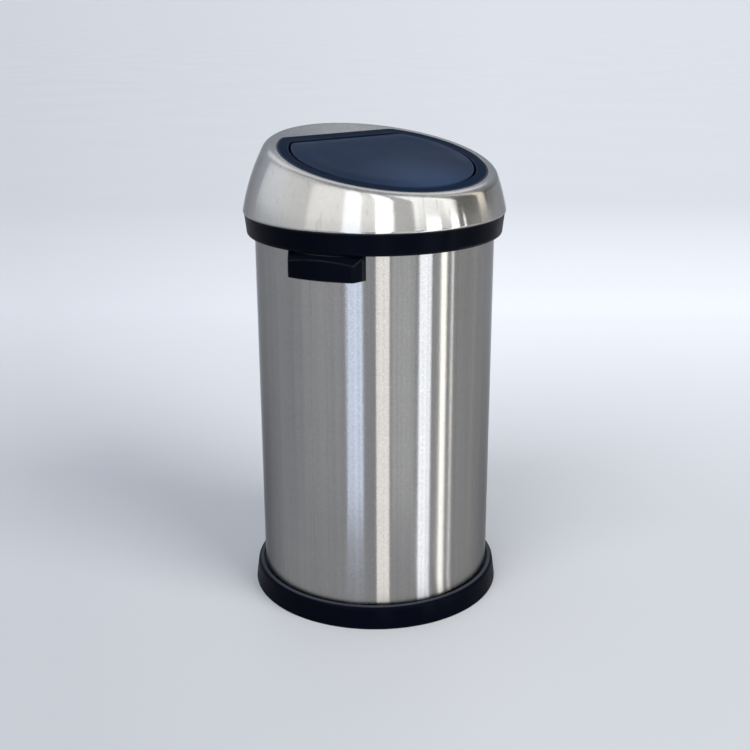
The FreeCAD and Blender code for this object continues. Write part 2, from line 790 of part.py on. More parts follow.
def flap_striker():
    base_under = underside_n - striker_base_wall
    tip = slider_floor_n + striker_gap
    striker = block((-striker_base_half_width, latch_v - striker_base_half_depth, base_under),
                    (striker_base_half_width, latch_v + striker_base_half_depth, underside_n))
    blade = block((-striker_half_width, latch_v - striker_half_thickness, tip),
                  (striker_half_width, latch_v + striker_half_thickness, base_under))
    head = block((-striker_head_half_width, latch_v - striker_half_thickness, tip),
                 (striker_head_half_width, latch_v + striker_half_thickness, tip + striker_head_height))
    striker = striker.fuse([blade, head]).removeSplitter()
    for place in flap_screw_places():
        striker = striker.cut(flap_screw_hole(place, screw_gap))
    return on_slope(striker)


PIECES = (
    body_shell, bottom_pan, base_ring, top_rim, carry_handle, handle_back_plate, handle_screws,
    bag_ring,
    lid_collar, lid_dome, lid_bezel, bezel_clamp_frame, hinge_pin, hinge_spring_left, hinge_spring_right,
    latch_housing, latch_screws, latch_spring, latch_slider,
    flap_panel, flap_underside, flap_screws, flap_striker,
)


def main():
    os.makedirs("parts", exist_ok=True)
    for build in PIECES:
        shape = build()
        print(build.__name__, shape.isValid(), len(shape.Solids), round(shape.Volume, 1), len(shape.Faces))
        shape.exportStep(os.path.join("parts", build.__name__ + ".step"))


main()
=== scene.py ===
"""Looks of the touch-top waste bin: finishes, small hardware, studio and camera.

Metres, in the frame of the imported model: +Z up, floor at z = 0, the lid's front along -Y.
"""
import json
from math import atan2, cos, pi, radians, sin, sqrt

import bmesh
import bpy
from mathutils import Matrix, Vector


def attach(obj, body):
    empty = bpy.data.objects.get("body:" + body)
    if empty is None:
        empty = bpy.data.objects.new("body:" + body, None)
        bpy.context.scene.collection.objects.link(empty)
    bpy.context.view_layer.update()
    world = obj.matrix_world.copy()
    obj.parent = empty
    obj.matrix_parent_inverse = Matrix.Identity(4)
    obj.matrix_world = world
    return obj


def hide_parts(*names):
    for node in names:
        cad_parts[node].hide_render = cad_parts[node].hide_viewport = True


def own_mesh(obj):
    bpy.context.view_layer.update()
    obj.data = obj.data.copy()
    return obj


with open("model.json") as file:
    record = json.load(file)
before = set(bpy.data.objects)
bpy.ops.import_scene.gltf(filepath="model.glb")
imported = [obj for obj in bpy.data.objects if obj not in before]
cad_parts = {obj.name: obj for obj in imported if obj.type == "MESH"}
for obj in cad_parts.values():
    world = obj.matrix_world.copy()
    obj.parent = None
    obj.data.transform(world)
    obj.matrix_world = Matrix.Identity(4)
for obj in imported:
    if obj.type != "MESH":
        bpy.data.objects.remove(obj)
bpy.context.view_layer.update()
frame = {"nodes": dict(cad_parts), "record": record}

# Camera, from the photograph's perspective
CAMERA_AZIMUTH = radians(-36.44)   # about Z, from looking along +Y
CAMERA_DISTANCE = 1.658            # from the bin's axis, along the floor
CAMERA_HEIGHT = 0.8626
CAMERA_PITCH = radians(18.01)
CAMERA_ROLL = radians(-0.19)
CAMERA_LENS = 55.74                # millimetres
CAMERA_SENSOR = 36.0               # millimetres, across
TO_CAMERA = Vector((sin(CAMERA_AZIMUTH), -cos(CAMERA_AZIMUTH), 0))
TO_RIGHT = Vector((cos(CAMERA_AZIMUTH), sin(CAMERA_AZIMUTH), 0))

# Sloping top of the lid, on which the small pieces are placed
FACE_HEIGHT = 0.65505              # on the axis
SLOPE_ANGLE = radians(11.64)
ON_SLOPE = Matrix.Translation((0, 0, FACE_HEIGHT)) @ Matrix.Rotation(SLOPE_ANGLE, 4, "X")

# Black bead in the groove between the dome and the bezel, a D, which stands in for the shadow line along the
# groove
SHADOW_BEAD_ARC = 0.1477
SHADOW_BEAD_ARC_FORWARD = 0.0204
SHADOW_BEAD_CHORD = 0.0915
SHADOW_BEAD_CORNER = 0.0170
SHADOW_BEAD_DEPTH = 0.00060
SHADOW_BEAD_RADIUS = 0.00105

ARC_STEPS = 160
CORNER_STEPS = 12
WIRE_SMOOTHNESS = 4

# Screws: radius, length, head height; each place is the middle of the face under the head
FLAP_SCREW = (0.0015, 0.0055, 0.0018)
FLAP_SCREW_PLACES = (
    (-0.062, -0.095, -0.0080), (0.062, -0.095, -0.0080), (-0.062, 0.030, -0.0080), (0.062, 0.030, -0.0080),
    (-0.008, -0.138, -0.0096), (0.008, -0.138, -0.0096),
)
LATCH_SCREW = (0.0015, 0.0086, 0.0018)
LATCH_SCREW_PLACES = ((-0.010, -0.1554, -0.025), (0.010, -0.1554, -0.025))
HANDLE_SCREW = (0.0020, 0.00975, 0.0022)
HANDLE_SCREW_ANGLES = (radians(-71.4), radians(-47.4))
HANDLE_SCREW_SEAT = 0.16840
HANDLE_SCREW_HEIGHT = 0.5304
SCREW_SIDES = 32
SHARP_ANGLE = radians(35)
THREAD_PITCH = 0.0009
THREAD_VALLEY = 0.6                # first valley and crest below the head, in pitches
THREAD_CREST = 1.1
# Shares of the screw's radius: head, thread's root, tip, arms of the cross and half their width
HEAD_SHARE = 2.0
ROOT_SHARE = 0.84
TIP_SHARE = 0.45
ARM_SHARE = 1.05
ARM_HALF_SHARE = 0.2
# Cross at its foot: width as a share of the rim's, height as a share of the head's
FOOT_WIDTH_SHARE = 0.6
FOOT_HEIGHT_SHARE = 0.25
# Rim of the head from its flat top down: shares of its radius and height
HEAD_PROFILE = ((0.72, 1.0), (0.86, 0.93), (0.96, 0.74), (1.0, 0.45), (1.0, 0.08), (0.97, 0.0))

# Hinge springs on the pin, whose long legs lie under the flap
SPRING_PIN = (0.071, -0.0046)
SPRING_START = 0.01994
SPRING_RADIUS = 0.0020
SPRING_WIRE = 0.0004
SPRING_PITCH = 0.0009
SPRING_TURNS = 9
SPRING_STEPS = 24
SPRING_LONG_LEG = 0.022
SPRING_SHORT_LEG = 0.0028

# Latch spring, between the housing's floor and the slider
LATCH_PLACE = (0.0, -0.138)
LATCH_SPRING_BASE = -0.0413
LATCH_SPRING_RADIUS = 0.0034
LATCH_SPRING_HEIGHT = 0.0096
LATCH_SPRING_TURNS = 5

# Marks of use, and the painted highlights and sheen that some of them carry
WELD_SEAM_HALF = 0.0011
TOUCH_AND_SHEEN_PLACE = (0.0, -0.118, 0.632)
EDGE_WEAR_AND_HIGHLIGHT_WIDTH = 0.0025
EDGE_LIKENESS = (0.998, 0.96)      # cosines between the true and a rounded normal: none, and full edge wear and painted highlight
SCUFF_COLOUR = (0.16, 0.165, 0.17)
DUST_AND_HIGHLIGHT_COLOUR = (0.096, 0.106, 0.133)
STEEL_EDGE_TINT = (0.5, 0.5, 0.5, 1)

# Sockets of a mix node that blends colours
MIX_FIRST = 6
MIX_SECOND = 7
MIX_RESULT = 2

# Floor with a painted pool of light in a band behind the bin and painted shade on the left: distances behind
# the bin's axis, and places to the side as shares of the distance from the camera
FLOOR_RADIUS = 500.0
FLOOR_SIDES = 96
FLOOR_COLOUR = (0.565, 0.575, 0.596)
PATCH_COLOUR = (0.50, 0.53, 0.57)
LIGHT_POOL_COLOUR = (0.785, 0.80, 0.838)
BAND_RISE = (0.2, 1.6)
BAND_FALL = (1.7, 3.4)
BAND_BEYOND = 0.25
BAND_SIDES = (0.42, 1.2)
PAINTED_SHADE_COLOUR = (0.43, 0.446, 0.475)
DIM_STRENGTH = 0.55
DIM_SIDES = (0.1, -0.3)
DIM_RISE = (-1.4, -0.6)
NEAREST_DISTANCE = 0.3             # from the camera, to keep the share finite

# Strip lights: degrees round from the camera, distance from the axis, width, bottom, top, colour, brightness
BODY_STRIPS = (
    (-43.5, 0.5, 0.310, 0.01, 0.6, (0.92, 0.97, 1.00), 0.10),
    (-16.1, 0.5, 0.116, 0.01, 0.6, (0.63, 0.75, 1.00), 1.85),
    (4.5, 0.23, 0.031, 0.003, 0.6, (1.00, 0.97, 0.93), 1.65),
    (22.2, 0.5, 0.156, 0.01, 0.6, (0.96, 1.00, 1.00), 0.34),
    (30.1, 0.23, 0.032, 0.003, 0.6, (0.87, 0.92, 1.00), 2.50),
    (42.7, 0.23, 0.0175, 0.003, 0.6, (1.00, 1.00, 0.95), 2.90),
    (49.3, 0.23, 0.005, 0.003, 0.6, (1.00, 0.97, 0.92), 2.50),
    (59.5, 0.23, 0.045, 0.003, 0.6, (1.00, 0.90, 0.55), 0.04),
    (71.5, 0.23, 0.020, 0.003, 0.6, (1.00, 0.86, 0.42), 0.14),
)
DOME_STRIPS = (
    (-81.0, 0.5, 0.555, 0.63, 2.0, (1.00, 0.99, 0.96), 0.55),
    (-19.0, 0.5, 0.650, 0.63, 2.0, (1.00, 0.99, 0.98), 1.10),
    (-15.8, 0.5, 0.110, 0.63, 2.0, (0.85, 0.92, 1.00), 0.90),
    (7.0, 0.5, 0.115, 0.63, 2.0, (1.00, 0.98, 0.95), 1.00),
    (22.2, 0.5, 0.156, 0.63, 2.0, (1.00, 1.00, 1.00), 0.34),
    (46.4, 0.5, 0.318, 0.63, 2.0, (0.98, 0.99, 1.00), 1.60),
    (56.6, 0.5, 0.072, 0.63, 2.0, (1.00, 0.97, 0.90), 0.45),
    (92.0, 0.5, 0.080, 0.63, 2.0, (1.00, 0.92, 0.78), 1.40),
)
# Soft suns: strength, angle across, colour, where the light comes from
SUNS = (
    (2.45, radians(36), (1.0, 0.985, 0.96), TO_RIGHT * 0.62 + TO_CAMERA * 0.50 + Vector((0, 0, 0.50))),
    (1.45, radians(40), (0.97, 0.985, 1.0), TO_RIGHT * -0.35 + TO_CAMERA * 0.6 + Vector((0, 0, 0.66))),
)
# Room light, and the cosines between which one colour gives way to the next
BACK_LIGHT = (0.70, 0.77, 0.90)
FRONT_LIGHT = (0.62, 0.63, 0.64)
FRONT_BLEND = (-0.4, 0.5)
RIGHT_LIGHT = (0.22, 0.215, 0.205)
RIGHT_BLEND = (0.3, 0.9)
ZENITH_LIGHT = (0.42, 0.45, 0.50)
ZENITH_BLEND = (0.35, 0.95)
BACKDROP_COLOUR = (0.66, 0.69, 0.75)
HORIZON_BLEND = (0.10, 0.04)
# Overhead softbox behind the bin, which the front of the flap shows
PANEL_PLACE = TO_CAMERA * -1.5 + Vector((0, 0, 2.2))
PANEL_WIDTH = 2.4
PANEL_DEPTH = 1.0
PANEL_COLOUR = (1.0, 1.0, 1.0)
PANEL_BRIGHTNESS = 1.0


class Finish:
    """A material in the making: a Principled shader and the nodes that vary it."""

    def __init__(self, name, colour, roughness, metallic=0.0):
        self.material = bpy.data.materials.new(name)
        self.material.use_nodes = True
        self.nodes = self.material.node_tree.nodes
        self.links = self.material.node_tree.links
        self.shader = self.nodes["Principled BSDF"]
        coordinates = self.nodes.new("ShaderNodeTexCoord")
        self.place = coordinates.outputs["Object"]
        self.directions = coordinates.outputs["Normal"]
        self.set("Base Color", (*colour, 1))
        self.set("Roughness", roughness)
        self.set("Metallic", metallic)

    def set(self, socket, value):
        self.shader.inputs[socket].default_value = value

    def feed(self, socket, source):
        self.links.new(source, self.shader.inputs[socket])

    def noise(self, scale, detail=4.0, shift=0.0):
        """Cloudy noise; scale is in waves per metre along X, Y and Z."""
        mapping = self.nodes.new("ShaderNodeMapping")
        mapping.inputs["Scale"].default_value = scale
        mapping.inputs["Location"].default_value = (shift, shift, shift)
        texture = self.nodes.new("ShaderNodeTexNoise")
        texture.inputs["Scale"].default_value = 1.0
        texture.inputs["Detail"].default_value = detail
        self.links.new(self.place, mapping.inputs["Vector"])
        self.links.new(mapping.outputs["Vector"], texture.inputs["Vector"])
        return texture.outputs["Fac"]

    def remap(self, value, low, high, to_low, to_high):
        node = self.nodes.new("ShaderNodeMapRange")
        for socket, number in zip(("From Min", "From Max", "To Min", "To Max"), (low, high, to_low, to_high)):
            node.inputs[socket].default_value = number
        self.links.new(value, node.inputs["Value"])
        return node.outputs["Result"]

    def combine(self, operation, first, second):
        node = self.nodes.new("ShaderNodeMath")
        node.operation = operation
        for socket, value in zip(node.inputs, (first, second)):
            if isinstance(value, (int, float)):
                socket.default_value = value
            else:
                self.links.new(value, socket)
        return node.outputs["Value"]

    def edges(self, width):
        """High along the sharp edges of the shape, zero elsewhere."""
        rounded = self.nodes.new("ShaderNodeBevel")
        rounded.inputs["Radius"].default_value = width
        actual = self.nodes.new("ShaderNodeNewGeometry")
        likeness = self.nodes.new("ShaderNodeVectorMath")
        likeness.operation = "DOT_PRODUCT"
        self.links.new(rounded.outputs["Normal"], likeness.inputs[0])
        self.links.new(actual.outputs["Normal"], likeness.inputs[1])
        return self.remap(likeness.outputs["Value"], *EDGE_LIKENESS, 0.0, 1.0)

    def axis(self, vector, name):
        split = self.nodes.new("ShaderNodeSeparateXYZ")
        self.links.new(vector, split.inputs[0])
        return split.outputs[name]

    def distance(self, spot):
        """Distance of the surface from a spot."""
        node = self.nodes.new("ShaderNodeVectorMath")
        node.operation = "DISTANCE"
        node.inputs[1].default_value = spot
        self.links.new(self.place, node.inputs[0])
        return node.outputs["Value"]

    def along(self, direction):
        """Place of the surface along a direction."""
        node = self.nodes.new("ShaderNodeVectorMath")
        node.operation = "DOT_PRODUCT"
        node.inputs[1].default_value = direction
        self.links.new(self.place, node.inputs[0])
        return node.outputs["Value"]

    def paint(self, factor, colour):
        """Mix another colour over the base colour where the factor is high."""
        mix = self.nodes.new("ShaderNodeMix")
        mix.data_type = "RGBA"
        base = self.shader.inputs["Base Color"]
        colour_input = mix.inputs[MIX_FIRST]
        if base.is_linked:
            self.links.new(base.links[0].from_socket, colour_input)
        else:
            colour_input.default_value = base.default_value
        mix.inputs[MIX_SECOND].default_value = (*colour, 1)
        self.links.new(factor, mix.inputs["Factor"])
        self.links.new(mix.outputs[MIX_RESULT], base)

    def bump(self, height, strength, distance):
        node = self.nodes.new("ShaderNodeBump")
        node.inputs["Strength"].default_value = strength
        node.inputs["Distance"].default_value = distance
        self.links.new(height, node.inputs["Height"])
        self.feed("Normal", node.outputs["Normal"])


def shade(colour, factor, lift=0.0):
    """Colour times a factor, plus a little grey."""
    return tuple(factor * c + lift for c in colour)


def brushed_steel(name, colour, roughness, lines, brush, speckle, welded=False):
    """Steel brushed round the bin's axis, with fine level lines, bands, flecks and upright streaks.

    There are as many lines to the metre as lines says; brush is their depth, and speckle is the strength of
    the flecks and streaks. A welded tube has an upright seam at the back.
    """
    finish = Finish(name, colour, roughness, metallic=1.0)
    finish.set("Anisotropic", 1.0)
    finish.set("Anisotropic Rotation", 0.25)
    finish.set("Specular Tint", STEEL_EDGE_TINT)
    tangent = finish.nodes.new("ShaderNodeTangent")
    tangent.direction_type = "RADIAL"
    tangent.axis = "Z"
    finish.feed("Tangent", tangent.outputs["Tangent"])
    grain = finish.noise((lines / 5, lines / 5, lines), detail=2)
    bands = finish.noise((4, 4, lines / 14), detail=3, shift=3.7)
    marks = finish.noise((9, 9, 6), detail=5, shift=8.1)
    drags = finish.noise((110, 110, 1.6), detail=2, shift=1.9)
    streaks = finish.noise((290, 290, 0.9), detail=2, shift=6.4)
    flecks = finish.noise((330, 330, 620), detail=1, shift=4.4)
    finish.paint(finish.remap(grain, 0.35, 0.65, 0.16, 0.0), shade(colour, 0.6))
    finish.paint(finish.remap(bands, 0.4, 0.7, 0.0, 0.10), shade(colour, 1.25))
    finish.paint(finish.remap(drags, 0.60, 0.74, 0.0, 0.30), shade(colour, 0.55))
    finish.paint(finish.remap(streaks, 0.40, 0.70, 0.0, 0.76 * speckle), shade(colour, 0.55))
    finish.paint(finish.remap(flecks, 0.45, 0.70, 0.0, speckle), shade(colour, 1.3))
    if welded:
        behind = finish.remap(finish.axis(finish.place, "Y"), 0.0, 0.01, 0.0, 0.5)
        offset = finish.combine("ABSOLUTE", finish.axis(finish.place, "X"), 0.0)
        seam = finish.remap(offset, WELD_SEAM_HALF, 0.6 * WELD_SEAM_HALF, 0.0, 1.0)
        finish.paint(finish.combine("MULTIPLY", behind, seam), shade(colour, 0.5))
    uneven = finish.combine("ADD", finish.remap(grain, 0.3, 0.7, -0.03, 0.03),
                            finish.remap(marks, 0.35, 0.7, roughness - 0.02, roughness + 0.03))
    finish.feed("Roughness", uneven)
    finish.bump(grain, strength=brush, distance=0.0001)
    return finish.material


def moulded_plastic(name, colour, roughness, gloss, pebble, scuff, dust_and_highlight=0.0, rubbed_and_sheen=0.0):
    """Satin moulded plastic with a fine texture, uneven gloss, and paler edges that are partly wear and
    partly a painted highlight.

    Pale dust on what faces up also paints a highlight there, and a rubbed flap is paler where hands press it,
    partly from rubbing and partly a painted sheen.
    """
    finish = Finish(name, colour, roughness)
    finish.set("Specular IOR Level", gloss)
    texture = finish.noise((pebble, pebble, pebble), detail=2)
    cloud = finish.noise((14, 14, 14), detail=5, shift=5.3)
    rubs = finish.noise((60, 60, 240), detail=6, shift=2.2)
    finish.paint(finish.remap(cloud, 0.4, 0.75, 0.0, 0.5), shade(colour, 1.5, 0.0003))
    finish.paint(finish.remap(rubs, 0.66, 0.82, 0.0, scuff), SCUFF_COLOUR)
    # Paler edges: partly wear, partly a painted highlight along them
    worn_and_highlit = finish.combine("MULTIPLY", finish.edges(EDGE_WEAR_AND_HIGHLIGHT_WIDTH),
                          finish.remap(rubs, 0.3, 0.6, 0.3, 0.7))
    finish.paint(worn_and_highlit, shade(colour, 0.8, 0.036))
    # Pale dust on what faces up, which also paints a highlight on upward lips and tops
    upward = finish.axis(finish.directions, "Z")
    dust_and_highlight_mask = finish.combine("MULTIPLY", finish.remap(upward, 0.84, 0.98, 0.0, dust_and_highlight),
                             finish.remap(cloud, 0.3, 0.7, 0.7, 1.0))
    finish.paint(dust_and_highlight_mask, DUST_AND_HIGHLIGHT_COLOUR)
    # Paler patch where hands press the flap: partly rubbed wear, partly a painted sheen on its front
    away = finish.distance(TOUCH_AND_SHEEN_PLACE)
    rubbed_and_sheen_mask = finish.combine("MULTIPLY", finish.remap(away, 0.03, 0.10, rubbed_and_sheen, 0.0),
                             finish.remap(cloud, 0.35, 0.65, 0.5, 1.0))
    finish.paint(rubbed_and_sheen_mask, shade(colour, 2.0, 0.010))
    finish.feed("Roughness", finish.remap(cloud, 0.3, 0.7, roughness - 0.06, roughness + 0.08))
    finish.bump(texture, strength=0.12, distance=0.0002)
    return finish.material


def plain_metal(name, colour, roughness, lines):
    """Bright small hardware: drawn or plated steel with fine marks."""
    finish = Finish(name, colour, roughness, metallic=1.0)
    marks = finish.noise((lines, lines, lines), detail=4)
    finish.feed("Roughness", finish.remap(marks, 0.3, 0.7, roughness - 0.08, roughness + 0.12))
    finish.paint(finish.remap(marks, 0.55, 0.8, 0.0, 0.35), shade(colour, 0.55))
    finish.bump(marks, strength=0.08, distance=0.0001)
    return finish.material


FINISHES = {
    "body_steel": brushed_steel(
        "body_steel_look", (0.325, 0.315, 0.303), roughness=0.185, lines=1200, brush=0.6, speckle=0.34,
        welded=True),
    "dome_steel": brushed_steel(
        "dome_steel_look", (0.47, 0.46, 0.44), roughness=0.18, lines=1200, brush=0.5, speckle=0.06),
    "pan_steel": brushed_steel(
        "pan_steel_look", (0.36, 0.36, 0.36), roughness=0.45, lines=700, brush=0.1, speckle=0.2),
    "black_plastic": moulded_plastic(
        "black_plastic_look", (0.0009, 0.0014, 0.0042), roughness=0.36, gloss=0.02, pebble=2600, scuff=0.03,
        dust_and_highlight=0.5),
    "bezel_plastic": moulded_plastic(
        "bezel_plastic_look", (0.0020, 0.0080, 0.022), roughness=0.42, gloss=0.005, pebble=3200, scuff=0.02),
    "flap_plastic": moulded_plastic(
        "flap_plastic_look", (0.005, 0.0128, 0.033), roughness=0.45, gloss=0.020, pebble=3600, scuff=0.03,
        rubbed_and_sheen=1.0),
    "inner_plastic": moulded_plastic(
        "inner_plastic_look", (0.010, 0.010, 0.011), roughness=0.55, gloss=0.3, pebble=1800, scuff=0.06),
    "latch_plastic": moulded_plastic(
        "latch_plastic_look", (0.50, 0.49, 0.46), roughness=0.42, gloss=0.4, pebble=2200, scuff=0.04),
    "pin_steel": plain_metal("pin_steel_look", (0.55, 0.55, 0.55), roughness=0.28, lines=900),
    "spring_steel": plain_metal("spring_steel_look", (0.42, 0.42, 0.43), roughness=0.32, lines=1400),
    "screw_steel": plain_metal("screw_steel_look", (0.58, 0.58, 0.56), roughness=0.30, lines=1200),
}


def dress_nodes():
    """Give every carried-over node the finish of its material slot."""
    for part in frame["record"]["subparts"]:
        mesh = frame["nodes"][part["node"]].data
        mesh.materials.clear()
        mesh.materials.append(FINISHES[part["material_slot"]])


def add_object(name, data):
    """New object of a mesh, a light or a camera, in the scene."""
    piece = bpy.data.objects.new(name, data)
    bpy.context.scene.collection.objects.link(piece)
    return piece


def add_wire(name, points, radius, closed, finish):
    """Round wire through points that are given on the sloping top."""
    curve = bpy.data.curves.new(name, "CURVE")
    curve.dimensions = "3D"
    curve.bevel_depth = radius
    curve.bevel_resolution = WIRE_SMOOTHNESS
    curve.use_fill_caps = not closed
    line = curve.splines.new("POLY")
    line.points.add(len(points) - 1)
    for spot, point in zip(line.points, points):
        spot.co = (*(ON_SLOPE @ Vector(point)), 1)
    line.use_cyclic_u = closed
    drawn = bpy.data.objects.new(name, curve)
    mesh = bpy.data.meshes.new_from_object(drawn)
    bpy.data.objects.remove(drawn)
    bpy.data.curves.remove(curve)
    mesh.name = name
    mesh.shade_smooth()
    mesh.materials.clear()
    mesh.materials.append(FINISHES[finish])
    return add_object(name, mesh)


def dee_points(arc, forward, chord, corner):
    """Points round a D: a broad arc about a point in front of the axis, two corners, a straight back."""
    corner_y = chord - corner
    corner_x = sqrt((arc - corner) ** 2 - (corner_y + forward) ** 2)
    meeting = atan2(corner_y + forward, corner_x)
    points = []
    for step in range(ARC_STEPS + 1):
        angle = pi - meeting + (pi + 2 * meeting) * step / ARC_STEPS
        points.append((arc * cos(angle), arc * sin(angle) - forward))
    for side, start, end in ((1, meeting, pi / 2), (-1, pi / 2, pi - meeting)):
        for step in range(1, CORNER_STEPS):
            angle = start + (end - start) * step / CORNER_STEPS
            points.append((side * corner_x + corner * cos(angle), corner_y + corner * sin(angle)))
    return points


def make_shadow_bead():
    """Soft black bead that closes the groove round the bezel and stands in for the shadow line along it."""
    outline = dee_points(SHADOW_BEAD_ARC, SHADOW_BEAD_ARC_FORWARD, SHADOW_BEAD_CHORD, SHADOW_BEAD_CORNER)
    points = [(x, y, -SHADOW_BEAD_DEPTH) for x, y in outline]
    shadow_bead = add_wire("bezel_shadow_bead", points, SHADOW_BEAD_RADIUS, True, "black_plastic")
    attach(shadow_bead, "lid")


def make_hinge_springs():
    """Torsion springs of round wire, in place of the six-sided ones."""
    pin_v, pin_n = SPRING_PIN
    for name, side in (("hinge_spring_left", -1), ("hinge_spring_right", 1)):
        points = [(side * SPRING_START, pin_v - SPRING_LONG_LEG, pin_n - SPRING_RADIUS)]
        for step in range(SPRING_TURNS * SPRING_STEPS + 1):
            turn = step / SPRING_STEPS
            points.append((side * (SPRING_START + SPRING_PITCH * turn),
                           pin_v + SPRING_RADIUS * sin(2 * pi * turn),
                           pin_n - SPRING_RADIUS * cos(2 * pi * turn)))
        points.append((points[-1][0], pin_v + SPRING_SHORT_LEG, pin_n - SPRING_RADIUS))
        spring = add_wire(f"{name}_wire", points, SPRING_WIRE, False, "spring_steel")
        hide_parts(name)
        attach(spring, "flap")


def make_latch_spring():
    """Coil of round wire, in place of the latch spring."""
    x, y = LATCH_PLACE
    points = []
    for step in range(LATCH_SPRING_TURNS * SPRING_STEPS + 1):
        turn = step / SPRING_STEPS
        points.append((x + LATCH_SPRING_RADIUS * cos(2 * pi * turn),
                       y + LATCH_SPRING_RADIUS * sin(2 * pi * turn),
                       LATCH_SPRING_BASE + LATCH_SPRING_HEIGHT * turn / LATCH_SPRING_TURNS))
    spring = add_wire("latch_spring_wire", points, SPRING_WIRE, False, "spring_steel")
    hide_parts("latch_spring")
    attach(spring, "lid")
    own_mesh(spring)


def screw_rings(radius, length, head_height):
    """Radius and height of each ring of a screw, from the head's flat top to the tip."""
    head = HEAD_SHARE * radius
    rings = [(head * across, -head_height * up) for across, up in HEAD_PROFILE]
    rings.append((radius, 0.0))
    threads = int(length / THREAD_PITCH) - 1
    for thread in range(threads):
        rings.append((ROOT_SHARE * radius, (thread + THREAD_VALLEY) * THREAD_PITCH))
        rings.append((radius, (thread + THREAD_CREST) * THREAD_PITCH))
    rings.append((TIP_SHARE * radius, length))
    return rings


def add_screw(shape, sizes, place):
    """Add a pan-head screw with a cross recess to a shape; the place's Z runs to the screw's point."""
    radius, length, head_height = sizes

    def loop(points):
        verts = [shape.verts.new(place @ Vector(point)) for point in points]
        return verts, [shape.edges.new((a, b)) for a, b in zip(verts, verts[1:] + verts[:1])]

    def bridge(first, second):
        for k in range(len(first)):
            shape.faces.new((first[k - 1], first[k], second[k], second[k - 1]))

    circles = []
    for across, height in screw_rings(radius, length, head_height):
        turns = [2 * pi * k / SCREW_SIDES for k in range(SCREW_SIDES)]
        circles.append(loop([(across * cos(turn), across * sin(turn), height) for turn in turns]))
    for (upper, _), (lower, _) in zip(circles, circles[1:]):
        bridge(upper, lower)
    shape.faces.new(circles[-1][0])
    arm = ARM_SHARE * radius
    half = ARM_HALF_SHARE * radius
    corners = [(half, arm), (half, half), (arm, half), (arm, -half), (half, -half), (half, -arm),
               (-half, -arm), (-half, -half), (-arm, -half), (-arm, half), (-half, half), (-half, arm)]
    rim, rim_edges = loop([(x, y, -head_height) for x, y in corners])
    foot, _ = loop([(FOOT_WIDTH_SHARE * x, FOOT_WIDTH_SHARE * y, -FOOT_HEIGHT_SHARE * head_height)
                    for x, y in corners])
    bridge(rim, foot)
    shape.faces.new(foot)
    bmesh.ops.triangle_fill(shape, use_beauty=True, edges=circles[0][1] + rim_edges)


def make_screws(node, body, sizes, places):
    """One piece with all screws of a node, in place of it."""
    shape = bmesh.new()
    for place in places:
        add_screw(shape, sizes, place)
    bmesh.ops.recalc_face_normals(shape, faces=shape.faces)
    mesh = bpy.data.meshes.new(f"{node}_crossed")
    shape.to_mesh(mesh)
    shape.free()
    mesh.shade_smooth()
    mesh.set_sharp_from_angle(angle=SHARP_ANGLE)
    mesh.materials.append(FINISHES["screw_steel"])
    screws = add_object(f"{node}_crossed", mesh)
    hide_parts(node)
    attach(screws, body)


def make_all_screws():
    along_v = Matrix.Rotation(-pi / 2, 4, "X")
    make_screws("flap_screws", "flap", FLAP_SCREW,
                [ON_SLOPE @ Matrix.Translation(place) for place in FLAP_SCREW_PLACES])
    make_screws("latch_screws", "lid", LATCH_SCREW,
                [ON_SLOPE @ Matrix.Translation(place) @ along_v for place in LATCH_SCREW_PLACES])
    places = []
    for angle in HANDLE_SCREW_ANGLES:
        outward = Vector((sin(angle), -cos(angle), 0))
        seat = outward * HANDLE_SCREW_SEAT + Vector((0, 0, HANDLE_SCREW_HEIGHT))
        places.append(Matrix.Translation(seat) @ outward.to_track_quat("Z", "Y").to_matrix().to_4x4())
    make_screws("handle_screws", "bin", HANDLE_SCREW, places)


def floor_finish():
    """Pale floor with a painted pool of light in a band behind the bin and painted shade on the left, with
    faint unevenness.
    """
    finish = Finish("floor_look", FLOOR_COLOUR, roughness=0.55)
    finish.set("Specular IOR Level", 0.3)
    cloud = finish.noise((1.3, 1.3, 1.3), detail=5)
    finish.paint(finish.remap(cloud, 0.35, 0.7, 0.0, 0.10), PATCH_COLOUR)
    distance = finish.along(-TO_CAMERA)
    spread = finish.combine("MAXIMUM", finish.combine("ADD", distance, CAMERA_DISTANCE), NEAREST_DISTANCE)
    side = finish.combine("DIVIDE", finish.along(TO_RIGHT), spread)
    # Painted pool of light: a paler band behind the bin
    lengthwise = finish.combine("MULTIPLY", finish.remap(distance, *BAND_RISE, 0.0, 1.0),
                                finish.remap(distance, *BAND_FALL, 1.0, BAND_BEYOND))
    sideways = finish.remap(finish.combine("ABSOLUTE", side, 0.0), *BAND_SIDES, 1.0, 0.0)
    finish.paint(finish.combine("MULTIPLY", lengthwise, sideways), LIGHT_POOL_COLOUR)
    # Painted shade: the floor darker on the left
    dim = finish.combine("MULTIPLY", finish.remap(side, *DIM_SIDES, 0.0, DIM_STRENGTH),
                         finish.remap(distance, *DIM_RISE, 0.0, 1.0))
    finish.paint(dim, PAINTED_SHADE_COLOUR)
    finish.feed("Roughness", finish.remap(cloud, 0.3, 0.7, 0.5, 0.62))
    return finish.material


def make_floor():
    shape = bmesh.new()
    bmesh.ops.create_circle(shape, cap_ends=True, radius=FLOOR_RADIUS, segments=FLOOR_SIDES)
    mesh = bpy.data.meshes.new("floor")
    shape.to_mesh(mesh)
    shape.free()
    mesh.materials.append(floor_finish())
    floor = add_object("floor", mesh)


